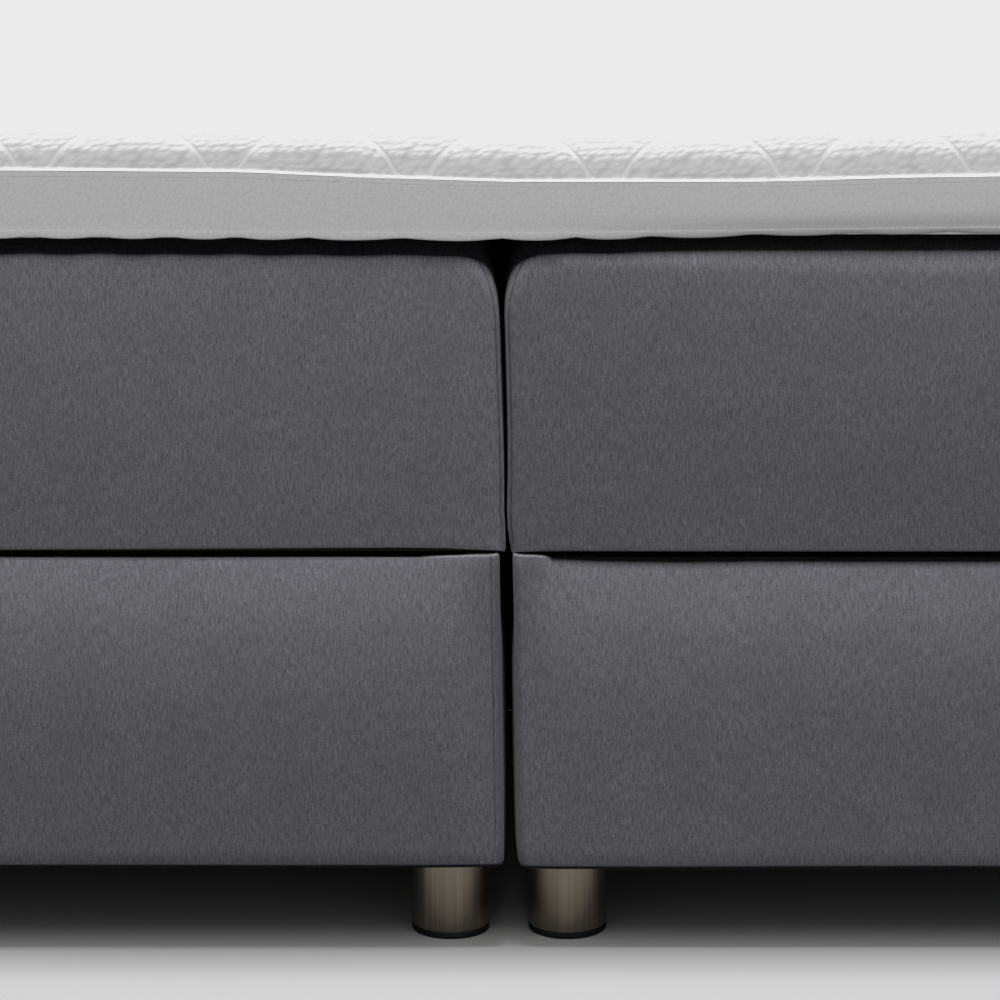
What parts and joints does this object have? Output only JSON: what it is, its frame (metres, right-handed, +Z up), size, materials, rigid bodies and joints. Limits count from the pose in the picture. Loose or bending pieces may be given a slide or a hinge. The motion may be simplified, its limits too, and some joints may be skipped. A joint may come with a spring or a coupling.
{
  "type": "box spring bed",
  "caption": "Double box spring bed: twin upholstered sprung bases on round steel legs, twin upholstered mattresses and one quilted topper across both.",
  "frame": {"origin": "on the floor, under the middle of the bed", "axes": "+Z up; +Y towards the head end, so the foot end faces -Y; +X to the right seen from the foot end"},
  "size_m": [1.8, 2, 0.6421],
  "materials": {
    "upholstery_fabric": "matte",
    "black_cloth": "matte",
    "quilted_ticking": "matte",
    "border_mesh": "matte",
    "piping_cord": "matte",
    "foam": "matte",
    "pocket_fleece": "matte",
    "pine": "matte",
    "bronzed_steel": "satin",
    "zinc_steel": "satin",
    "black_plastic": "matte",
    "zip_tape": "matte"
  },
  "bodies": {
    "bed_base": {"base_left_outer_rail": "pine", "base_left_inner_rail": "pine", "base_left_foot_rail": "pine", "base_left_head_rail": "pine", "base_left_slat_deck": "pine", "base_left_spring_unit": "pocket_fleece", "base_left_foam_hood": "foam", "base_left_sleeve": "upholstery_fabric", "base_left_top_cloth": "black_cloth", "base_left_dust_cover": "black_cloth", "base_left_foot_inner_leg": "bronzed_steel", "base_left_foot_inner_glide": "black_plastic", "base_left_foot_outer_leg": "bronzed_steel", "base_left_foot_outer_glide": "black_plastic", "base_left_head_inner_leg": "bronzed_steel", "base_left_head_inner_glide": "black_plastic", "base_left_head_outer_leg": "bronzed_steel", "base_left_head_outer_glide": "black_plastic", "base_right_outer_rail": "pine", "base_right_inner_rail": "pine", "base_right_foot_rail": "pine", "base_right_head_rail": "pine", "base_right_slat_deck": "pine", "base_right_spring_unit": "pocket_fleece", "base_right_foam_hood": "foam", "base_right_sleeve": "upholstery_fabric", "base_right_top_cloth": "black_cloth", "base_right_dust_cover": "black_cloth", "base_right_foot_inner_leg": "bronzed_steel", "base_right_foot_inner_glide": "black_plastic", "base_right_foot_outer_leg": "bronzed_steel", "base_right_foot_outer_glide": "black_plastic", "base_right_head_inner_leg": "bronzed_steel", "base_right_head_inner_glide": "black_plastic", "base_right_head_outer_leg": "bronzed_steel", "base_right_head_outer_glide": "black_plastic", "connector_plate_foot": "zinc_steel", "connector_plate_head": "zinc_steel"},
    "mattress_left": {"mattress_left_cover_wrap": "upholstery_fabric", "mattress_left_foot_panel": "upholstery_fabric", "mattress_left_head_panel": "upholstery_fabric", "mattress_left_base_cloth": "black_cloth", "mattress_left_top_foam": "foam", "mattress_left_spring_core": "pocket_fleece", "mattress_left_bottom_foam": "foam"},
    "mattress_right": {"mattress_right_cover_wrap": "upholstery_fabric", "mattress_right_foot_panel": "upholstery_fabric", "mattress_right_head_panel": "upholstery_fabric", "mattress_right_base_cloth": "black_cloth", "mattress_right_top_foam": "foam", "mattress_right_spring_core": "pocket_fleece", "mattress_right_bottom_foam": "foam"},
    "topper": {"topper_top_panel": "quilted_ticking", "topper_border": "border_mesh", "topper_upper_piping": "piping_cord", "topper_lower_hem": "piping_cord", "topper_bottom_panel": "quilted_ticking", "topper_foam_core": "foam", "topper_zip_tape": "zip_tape"},
    "zip_slider": {"topper_zip_slider": "zinc_steel"}
  },
  "joints": [
    {"name": "topper_lift", "type": "slide", "parent": "bed_base", "child": "topper", "axis": [0, 0, 1], "range_m": [0, 0.4]},
    {"name": "mattress_left_slide", "type": "slide", "parent": "bed_base", "child": "mattress_left", "axis": [-1, 0, 0], "range_m": [0, 0.92]},
    {"name": "mattress_right_slide", "type": "slide", "parent": "bed_base", "child": "mattress_right", "axis": [1, 0, 0], "range_m": [0, 0.92]},
    {"name": "zip_slider_travel", "type": "slide", "parent": "topper", "child": "zip_slider", "axis": [1, 0, 0], "range_m": [0, 1.55]}
  ]
}
